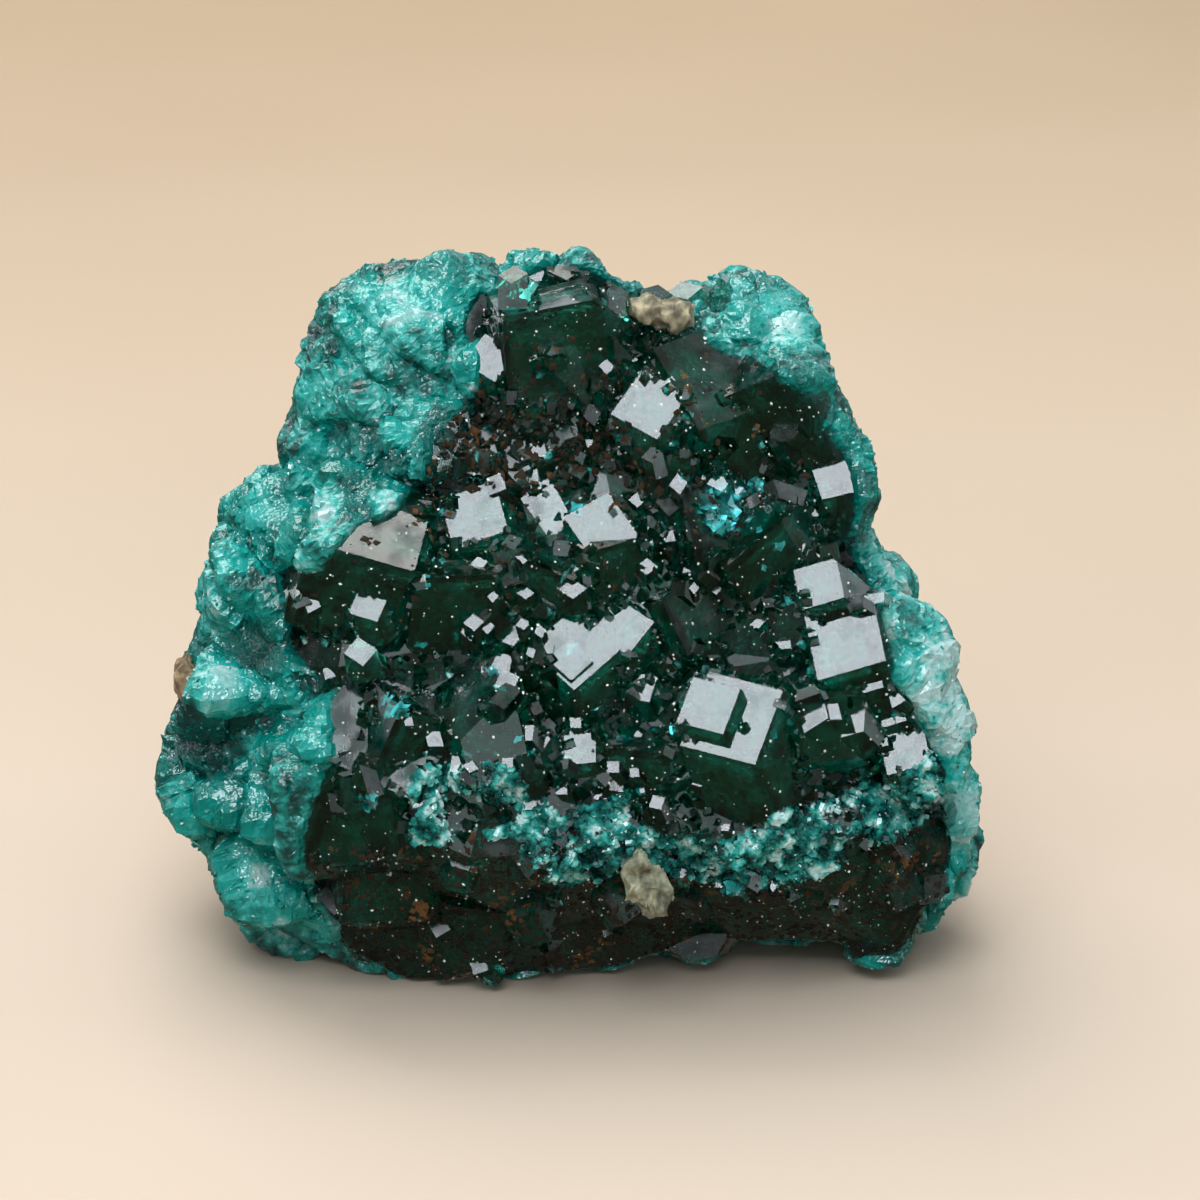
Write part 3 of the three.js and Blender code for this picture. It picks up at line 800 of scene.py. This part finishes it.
def makeCrystals():
    crystals = nodeCopy("crystals", "dioptase_crystals")
    rng = np.random.default_rng(growth["seed"])
    corners, triangles = surfaceOf(crystals)
    around, aroundNormals = scatter(corners, triangles, growth["samples"], rng)
    points, normals = scatter(corners, triangles, growth["tries"] * 2, rng)
    front = onCrystalFace(points, normals)
    points, normals = points[front][:growth["tries"]], normals[front][:growth["tries"]]
    plates = around[(aroundNormals @ glintNormal > growth["plateFacing"]) & ~inHollow(worldToFace(around))]
    points, normals, size = growthSpots(around, plates, points, normals, rng)
    print("growth spots", len(points))
    axis = tilted(normals, growth["tilt"], rng)
    scale = size[:, None] * rng.uniform(*growth["uneven"], (len(points), 3))
    origin = points + axis * (scale[:, 2:] * rng.uniform(*growth["tip"], (len(points), 1)))
    shown = ~hides(origin, size * growth["widest"], plates)
    points, axis, scale, origin, size = (values[shown] for values in (points, axis, scale, origin, size))
    dull = (rng.random(len(points)) < growth["dull"]) | inHollow(worldToFace(points))
    uniteAll(crystals, crystalShape(), scale, dullBasis(axis, scale, dull, rng), origin, size * reachOf)
    addRim(crystals, rng)
    addTiles(crystals, plates, rng)
    keepLargest(crystals.data)
    crystals.data.shade_flat()
    crystals.data.name = "crystals"
    addValues(crystals.data, "soil", soiled(worldToFace(vertexArrays(crystals.data)[0])))
    finishPiece(crystals, crystalMaterial(), "dioptase_crystals")
    return crystals


# The broken flanks and back: a cloudy, granular mass that the clear crystals grow out of. It is a
# closed skin that runs on behind the clear faces, where it is painted dark as the shade of the deep interior,
# with patches of painted green glow and brown tints, and shows through them.
crust = {
    "seed": 23,
    "voxel": 0.23,
    "proud": 0.28,
    "least": 0.06,
    "jitter": 0.045,
    "bulges": [(-15.5, 8.5, 3.2, 4.5, 0.85), (15.0, 17.5, 2.5, 6.0, 0.8), (-16.5, 14.0, 2.5, 3.0, 0.5)],
    "waves": [(2.4, 0.2), (0.7, 0.12)],  # size of the lumps and how high they stand
    "broken": [(2.3, 0.34), (0.95, 0.3)],  # size of the broken faces and how steep they are
    "brokenSeeds": (40, 49),
    "tonesEnd": 12,
    "ragged": (2.2, 1.6),  # size and reach of the bays in the edge of the crystal face
    "edge": (-0.2, 1.0),
    "behind": 1.7,  # how far behind the clear faces the skin runs; a guess
    "frontEnds": (10.5, 13.0),
    "cloud": {"scale": 1100, "detail": 4, "roughness": 0.62},
    "colours": [(0.36, (0.0, 0.07, 0.06)), (0.46, (0.0, 0.2, 0.17)), (0.55, (0.0, 0.4, 0.34)),
                (0.64, (0.03, 0.6, 0.53)), (0.76, (0.6, 0.9, 0.87))],
    # behind the clear faces: painted shade of the deep interior, near black, with patches of painted green
    # glow and brown tints
    "interiorShadeColours": [(0.35, (0.0, 0.06, 0.05)), (0.48, (0.0, 0.35, 0.31)), (0.56, (0.03, 0.14, 0.08)),
                      (0.68, (0.2, 0.08, 0.01))],
    "roughness": [(0.3, grey(0.06)), (1.0, grey(0.3))],
}
# light and dark parts of the flanks: [x, z, half width, half height, tone, smoothness] in the face frame
tones = [
    (-6.8, 33.9, 2.6, 1.2, 0.9, 0.8), (-9.1, 30.9, 2.5, 3.6, 0.25, 0), (-10.8, 25.2, 0.7, 0.9, 1.4, 0),
    (-13.6, 24.2, 2.3, 2.1, 0.1, 0.3), (-15.7, 20.7, 1.5, 0.9, 0.5, 0), (-13.4, 19.0, 1.5, 1.6, -0.7, 0.8),
    (-15.5, 17.7, 1.1, 0.8, 1.1, 0.3), (-15.6, 15.6, 1.4, 1.0, -0.7, 0.9), (-11.2, 15.5, 1.1, 1.8, 0.9, 0.8),
    (-13.6, 13.8, 0.5, 1.9, 1.2, 0.5), (-13.7, 10.9, 0.6, 0.6, 1.2, 0.5), (-13.7, 8.9, 0.5, 0.6, 1.2, 0.5),
    (8.9, 33.5, 1.3, 1.7, 1.3, 0.3), (15.4, 17.0, 2.6, 6.0, 1.35, 0.3), (17.2, 9.5, 1.6, 3.5, 0.7, 0),
    (-16.0, 11.5, 2.6, 3.4, 0, 0.3), (6.2, 34.2, 1.4, 1.0, 0.5, 0.5),
]


def brokenCells(points, cell, seed):
    # for each point the nearest of a scatter of centres, one to a lattice cell: three random numbers from
    # -1 to 1 that belong to the centre, and the way from it to the point
    grid = points / cell
    base = np.floor(grid).astype(np.int64)
    best = np.full(len(points), np.inf)
    values, way = np.zeros((len(points), 3)), np.zeros((len(points), 3))
    for number in range(27):
        corner = base + [number % 3 - 1, number // 3 % 3 - 1, number // 9 - 1]
        place = corner + np.stack([hashed(corner, seed + k) for k in range(3)], axis=1)
        to = grid - place
        far = (to ** 2).sum(axis=1)
        near = far < best
        best[near] = far[near]
        way[near] = to[near] * cell
        values[near] = 2 * np.stack([hashed(corner[near], seed + 3 + k) for k in range(3)], axis=1) - 1
    return values, way


def insideDistance(face, outline):
    # distance to the nearest side of an outline in the face's plane, negative outside it
    start, end = outline, np.roll(outline, -1, axis=0)
    point = face[:, None, [0, 2]]
    along = end - start
    share = np.clip(((point - start) * along).sum(axis=2) / (along ** 2).sum(axis=1), 0, 1)
    distance = np.linalg.norm(point - start - share[..., None] * along, axis=2).min(axis=1)
    return np.where(insideOutline(face, outline), distance, -distance)


def crystalShare(points):
    # 1 where the clear crystals show, 0 on the broken flanks and back, with a ragged edge
    face = worldToFace(points)
    size, reach = crust["ragged"]
    inside = insideDistance(face, crystalFace) + reach * (latticeNoise(face, size, 9) - 0.5)
    first, last = crust["frontEnds"]
    return smooth(inside, *crust["edge"]) * (1 - smooth(face[:, 1], first, last))


def crustRise(corners, face):
    # how far the skin stands out, how sugary it is and its patches of tone
    lumps = np.zeros(len(corners))
    for number, (cell, height) in enumerate(crust["waves"]):
        lumps += height * (latticeNoise(corners / mm, cell, number + 1) - 0.5)
    for number, (cell, steep) in enumerate(crust["broken"]):
        values, way = brokenCells(corners / mm, cell, crust["brokenSeeds"][number])
        lumps += steep * (values * way).sum(axis=1) * 0.5
        if number == 0:
            sugary = 0.3 + 0.7 * smooth(values[:, 0] + values[:, 1] * 0.5, -0.3, 0.2)
            patchTone = values[:, 2]
    rise = lumps + crust["proud"]
    for x, z, width, height, most in crust["bulges"]:
        rise += most * np.exp(-((face[:, 0] - x) / width) ** 2 - ((face[:, 2] - z) / height) ** 2)
    return lumps, np.maximum(rise, crust["least"]), sugary, patchTone


def makeCrust():
    rng = np.random.default_rng(crust["seed"])
    holder = nodeCopy("crust", "dioptase_crystals")
    holder.data = remeshed(holder, crust["voxel"])
    print("crust remeshed", len(holder.data.polygons))
    corners, normals = vertexArrays(holder.data)
    face = worldToFace(corners)
    lumps, rise, sugary, patchTone = crustRise(corners, face)
    share = crystalShare(corners)
    corners += normals * (rise * (1 - share))[:, None] * mm
    corners += directionToWorld([0, 1, 0]) * (crust["behind"] * share)[:, None]
    # the tone: painted light on the lumps and painted shade in the dips between them, plus patches and a
    # finer noise of the mass's own tone
    value = 1.2 * lumps + 0.55 * patchTone + 0.9 * (latticeNoise(corners / mm, 1.3, 13) - 0.5)
    near = face[:, 1] < crust["tonesEnd"]
    for x, z, width, height, most, polish in tones:
        within = np.exp(-((face[:, 0] - x) / width) ** 4 - ((face[:, 2] - z) / height) ** 4) * near
        value += most * within
        sugary *= 1 - polish * within
    corners += rng.normal(size=corners.shape) * crust["jitter"] * mm * ((1 - share) * sugary)[:, None]
    corners[:, 2] = np.maximum(corners[:, 2], 0)
    holder.data.vertices.foreach_set("co", corners.astype(np.float32).ravel())
    addValues(holder.data, "shade", share)
    addValues(holder.data, "tone", value)
    addValues(holder.data, "sugar", sugary)
    holder.data.shade_flat()
    finishPiece(holder, crustMaterial())
    return holder


def crustMaterial():
    material, tree, surface, place = newMaterial("cloudy broken dioptase")
    cloud = noiseFrom(tree, place, **crust["cloud"])
    level = multiplyAdd(tree, attributeOf(tree, "tone"), 0.14, 0.5)
    fine = addNode(tree, "ShaderNodeMath", operation="SUBTRACT")  # cloud - 1/2
    tree.links.new(cloud, fine.inputs[0])
    fine.inputs[1].default_value = 0.5
    sugar = attributeOf(tree, "sugar")
    raised = multiplyAdd(tree, fine.outputs["Value"], sugar, level)
    colour = ramp(tree, raised, crust["colours"])
    # where shade is 1, behind the clear faces, the skin takes the painted shade colours of the interior
    behind = ramp(tree, noiseFrom(tree, place, 420, 2), crust["interiorShadeColours"])
    tree.links.new(mixColours(tree, attributeOf(tree, "shade"), colour, behind), surface.inputs["Base Color"])
    tree.links.new(ramp(tree, sugar, crust["roughness"]), surface.inputs["Roughness"])
    addBump(tree, surface, noiseFrom(tree, place, 4200, 1), 0.8, 0.0001)
    setSockets(surface, IOR=crystalLook["ior"], Transmission_Weight=0.5)
    return material


# Fine druse: tiny crystals in the crannies and all over the lip
druse = {
    "seed": 31,
    "samples": 20000,
    "tries": 60000,
    "most": 8800,
    "lipMore": 14,
    "radius": (0.05, 0.19),
    "shelterFrom": 0.28,
    "shelterReach": 0.8,
    "tilt": 0.5,
    "uneven": (0.8, 1.3),
    "tip": (0.5, 1.4),
    "pitShare": 0.35,
    "colours": [(0.37, (0.0, 0.045, 0.04)), (0.48, (0.01, 0.24, 0.21)), (0.56, (0.06, 0.55, 0.48)),
                (0.64, (0.65, 0.95, 0.92))],
}


def makeDruse(crystals):
    rng = np.random.default_rng(druse["seed"])
    corners, triangles = surfaceOf(crystals)
    around, aroundNormals = scatter(corners, triangles, druse["samples"], rng)
    around = around[onCrystalFace(around, aroundNormals)]
    points, normals = scatter(corners, triangles, druse["tries"], rng,
                              lambda centres: 1 + druse["lipMore"] * inLip(worldToFace(centres)))
    front = onCrystalFace(points, normals)
    points, normals = points[front], normals[front]
    face = worldToFace(points)
    pit = shelter(points, normals, around, druse["shelterReach"] * mm)
    lip = inLip(face)
    band = smooth(latticeNoise(face, 1.5, 33) - 0.16 * aboveLipEdge(face) / lipHeight, 0.22, 0.42)
    sheltered = druse["pitShare"] * smooth(pit, druse["shelterFrom"], 0.5)
    chance = np.where(lip, band, sheltered) * ~inUndercut(face)
    use = (rng.random(len(points)) < chance) & (normals @ glintNormal < growth["plateFacing"])
    points, normals = points[use][:druse["most"]], normals[use][:druse["most"]]
    size = randomSizes(rng, druse["radius"], len(points), 2.5)
    axis = tilted(normals, druse["tilt"], rng)
    scale = size[:, None] * rng.uniform(*druse["uneven"], (len(points), 3))
    origin = points + axis * (size * rng.uniform(*druse["tip"], len(points)))[:, None]
    mesh = placedMesh("fine_druse", crystalShape(), scale, basisAlong(axis, rng), origin)
    material = speckledMaterial("fine druse", 1100, 3, druse["colours"], Roughness=0.08,
                                IOR=crystalLook["ior"], Transmission_Weight=0.4)
    newPiece("fine_druse", mesh, material)
    print("fine druse", len(points), "crystals")


# Grains: broken bits standing out of the flanks and back
grains = {
    "seed": 53,
    "count": 9000,
    "size": (0.035, 0.15),
    "tilt": 0.8,
    "uneven": (0.6, 1.3),
    "sunk": 0.3,
    "colours": [(0.36, (0.0, 0.2, 0.17)), (0.5, (0.01, 0.42, 0.37)), (0.6, (0.12, 0.65, 0.6)),
                (0.68, (0.75, 0.92, 0.9))],
    "lowest": 0.3,
}


def makeGrains(crustPiece):
    rng = np.random.default_rng(grains["seed"])
    corners, triangles = surfaceOf(crustPiece)
    points, normals = scatter(corners, triangles, grains["count"] * 3, rng)
    flank = crystalShare(points) < 0.3
    patchy = latticeNoise(points / mm, 1.6, 21) + 0.4 * (rng.random(len(points)) - 0.5) > 0.42
    use = flank & patchy & (points[:, 2] > grains["lowest"] * mm)
    points, normals = points[use][:grains["count"]], normals[use][:grains["count"]]
    size = randomSizes(rng, grains["size"], len(points), 3)
    scale = size[:, None] * rng.uniform(*grains["uneven"], (len(points), 3))
    basis = basisAlong(tilted(normals, grains["tilt"], rng), rng)
    origin = points - normals * (grains["sunk"] * size)[:, None]
    mesh = placedMesh("flank_grains", blockShape(), scale, basis, origin)
    material = speckledMaterial("flank grain", 2200, 1, grains["colours"], Roughness=0.1,
                                IOR=crystalLook["ior"], Transmission_Weight=0.5)
    newPiece("flank_grains", mesh, material)
    print("flank grains", len(points))


# Dust and stains: pale specks of dust, which also stand in as painted sparkle, and rusty scales lying on the
# crystals, which on the undercut are painted shade
dustAndSparkle = {
    "seed": 37,
    "samples": 40000,
    "around": 6000,
    "lowest": 0.25,
    "count": 2300,
    "size": (0.02, 0.08),
    "uneven": (0.5, 1.3),
    # pale to white specks: dust, and also painted sparkle
    "colours": [(0.35, (0.4675, 0.4675, 0.4125)), (0.65, (1, 1, 0.9375))],
    "stains": 5000,
    "stainSize": (0.04, 0.2),
    "stainShape": (1.2, 0.9, 0.25),
    "stainReach": {"width": 7, "height": 4},  # of the stained area around the hollow
    "hollowStains": 1.35,  # how much larger they are in the hollow
    # near black to rust brown: stain colours, also the painted shade on the undercut
    "stainAndShadeColours": [(0.38, (0.01, 0.008, 0.005)), (0.57, (0.03, 0.018, 0.008)), (0.7, (0.11, 0.05, 0.014))],
}


def speckShape():
    # an eight-sided crumb
    corners = np.array([[1, 0, 0], [-1, 0, 0], [0, 1, 0], [0, -1, 0], [0, 0, 1], [0, 0, -1]], float)
    faces = np.array([(0, 2, 4), (2, 1, 4), (1, 3, 4), (3, 0, 4), (2, 0, 5), (1, 2, 5), (3, 1, 5), (0, 3, 5)])
    return corners, faces


def makeDustAndSparkle(crystals):
    rng = np.random.default_rng(dustAndSparkle["seed"])
    corners, triangles = surfaceOf(crystals)
    points, normals = scatter(corners, triangles, dustAndSparkle["samples"], rng)
    front = onCrystalFace(points, normals) & (points[:, 2] > dustAndSparkle["lowest"] * mm)
    points, normals = points[front], normals[front]
    count = dustAndSparkle["count"]
    size = randomSizes(rng, dustAndSparkle["size"], count, 2)
    scale = size[:, None] * rng.uniform(*dustAndSparkle["uneven"], (count, 3))
    mesh = placedMesh("dustAndSparkle", speckShape(), scale, basisAlong(normals[:count], rng), points[:count])
    newPiece("dustAndSparkle", mesh, speckledMaterial("pale dust", 260, 1, dustAndSparkle["colours"], Roughness=0.3))
    makeStainsAndShade(points[count:], normals[count:], points[:dustAndSparkle["around"]], rng)
    print("dustAndSparkle", count, "specks")


def makeStainsAndShade(points, normals, around, rng):
    # flat dark scales: many around the hollow, rusty stains that there also paint its shade, many on the
    # undercut as painted shade, and some rusty ones in pits; the bright end faces stay clean
    face = worldToFace(points)
    pit = shelter(points, normals, around, 1.2 * mm)
    width, height = dustAndSparkle["stainReach"]["width"], dustAndSparkle["stainReach"]["height"]
    away = np.hypot((face[:, 0] - hollowZone["x"]) / width, (face[:, 2] - hollowZone["z"]) / height)
    # the undercut's scales are painted shade; those around the hollow are stains that also darken it as
    # painted shade
    chance = 0.9 * np.exp(-away ** 2) + 0.12 * smooth(pit, 0.25, 0.5) + 0.9 * inUndercut(face)
    clean = (normals @ glintNormal > growth["plateFacing"]) & ~inHollow(face)
    use = (rng.random(len(points)) < chance) & ~clean
    points, normals = points[use][:dustAndSparkle["stains"]], normals[use][:dustAndSparkle["stains"]]
    larger = np.where(inHollow(worldToFace(points)), dustAndSparkle["hollowStains"], 1)
    size = mm * rng.uniform(*dustAndSparkle["stainSize"], len(points)) * larger
    scale = size[:, None] * np.array(dustAndSparkle["stainShape"]) * rng.uniform(0.6, 1.4, (len(points), 3))
    mesh = placedMesh("iron_stains_and_painted_shade", speckShape(), scale, basisAlong(normals, rng), points)
    # the dim reflection keeps the painted shade dark
    material = speckledMaterial("iron stain and painted shade", 520, 2, dustAndSparkle["stainAndShadeColours"],
                                Roughness=0.8, Specular_IOR_Level=0.2)
    newPiece("iron_stains_and_painted_shade", mesh, material)
    print("stains", len(points))


# Inner veils: thin flaws just under the faces, coloured bright blue-green as painted glints of light inside
# the crystal
veiling = {"seed": 43, "deepest": 6, "depth": (0.1, 0.5), "tilt": 0.5,
           # dark to bright cyan: painted glints
           "colours": [(0.4, (0.0, 0.2, 0.2)), (0.6, (0.12, 0.85, 0.9))]}
veils = [
    {"patch": (6.7, 25.2, 1.2, 1.1), "count": 34, "size": (0.15, 0.6)},
    {"patch": (7.3, 9.2, 0.9, 0.6), "count": 14, "size": (0.15, 0.45)},
    {"patch": (-7.7, 16.6, 0.5, 0.5), "count": 9, "size": (0.15, 0.45)},
    {"patch": (-8.8, 12.7, 0.3, 0.5), "count": 6, "size": (0.15, 0.4)},
    {"patch": (1.5, 20.5, 9.0, 7.0), "count": 26, "size": (0.12, 0.35)},
]


def veilShape():
    # a flat lens with an uneven rim of nine corners
    turn = np.arange(9) * 2 * math.pi / 9
    reach = 1 + 0.3 * np.sin(3.7 * np.arange(9) + 1)
    border = np.column_stack([reach * np.cos(turn), reach * np.sin(turn), np.zeros(9)])
    corners = np.vstack([border, [[0, 0, 0.06], [0, 0, -0.06]]])
    i = np.arange(9)
    after = (i + 1) % 9
    front = np.column_stack([i, after, np.full(9, 9)])
    back = np.column_stack([after, i, np.full(9, 10)])
    return corners, np.vstack([front, back])


def makeVeilGlints(crystals):
    rng = np.random.default_rng(veiling["seed"])
    scale, origin, normal = [], [], []
    for patch in veils:
        x, z, width, height = patch["patch"]
        for _ in range(patch["count"]):
            place = frontSurface(crystals, x + width * rng.uniform(-1, 1), z + height * rng.uniform(-1, 1))
            if place is None or place[1] > veiling["deepest"]:
                continue
            size = mm * rng.uniform(*patch["size"])
            scale.append(size * np.array([1, rng.uniform(0.4, 1), 1]))
            origin.append(faceToWorld(place + [0, rng.uniform(*veiling["depth"]), 0]))
            normal.append(rng.normal(size=3) * veiling["tilt"] + glintNormal)
    basis = basisAlong(unit(np.array(normal)), rng)
    mesh = placedMesh("inner_veils_painted_glints", veilShape(), np.array(scale), basis, np.array(origin))
    # the veils' bright cyan colour is a painted glint
    material = speckledMaterial("inner veil painted glint", 1500, 1, veiling["colours"], Roughness=0.2)
    newPiece("inner_veils_painted_glints", mesh, material)
    print("inner veils", len(origin))


# Remnants of host rock: the solid lumps with a crumbly, streaky skin
rock = {
    "voxel": 0.08,
    "lumps": 0.7,
    "streaks": 0.25,
    "stretch": [2.2, 1, 0.7],
    # the front lump's colour is the rock's cream darkened as painted shade, for where it sits in shadow
    "matrix_front": {"colour": (0.2, 0.2, 0.13), "rough": 0.5},
    "matrix_top": {"colour": (0.22, 0.19, 0.12), "rough": 0.35},
    "matrix_left": {"colour": (0.22, 0.15, 0.08), "rough": 0.3},
}


def makeRock(name):
    holder = nodeCopy(name + "_rock", name)
    mesh = remeshed(holder, rock["voxel"])
    bpy.data.objects.remove(holder)
    corners, normals = vertexArrays(mesh)
    rough = rock[name]["rough"]
    rise = rough * (latticeNoise(corners / mm, rock["lumps"], 5) - 0.6)
    rise = rise + 0.4 * rough * (latticeNoise(corners / mm * rock["stretch"], rock["streaks"], 6) - 0.5)
    corners += normals * rise[:, None] * mm
    mesh.vertices.foreach_set("co", corners.astype(np.float32).ravel())
    newPiece(name + "_rock", mesh, rockMaterial(name + " rock", rock[name]["colour"]), name)


def rockMaterial(name, colour):
    material, tree, surface, place = newMaterial(name)
    noise = noiseFrom(tree, place, 1600, 3)
    pale, deep = (tuple(min(1, share * value) for value in colour) for share in (1.7, 0.35))
    shade = ramp(tree, noise, [(0.36, deep), (0.52, colour), (0.68, pale)])
    tree.links.new(shade, surface.inputs["Base Color"])
    addBump(tree, surface, noise, 0.7, 0.0001)
    setSockets(surface, Roughness=0.85)
    return material


setViewTransform()
limitBounces()
makeCamera()
makeFloor()
makeSoftbox("key softbox", light["key"])
makeSoftbox("back softbox", light["back"])
makeSoftbox("top softbox", light["top"]).visible_glossy = False
makeWorld()
print("camera, floor and lights are set")
crystals = makeCrystals()
print("crystals are made")
crustPiece = makeCrust()
print("crust is made")
makeGrains(crustPiece)
makeDruse(crystals)
makeDustAndSparkle(crystals)
makeVeilGlints(crystals)
for rockName in ("matrix_front", "matrix_top", "matrix_left"):
    makeRock(rockName)
print("druse, dust, veils and rock are made")
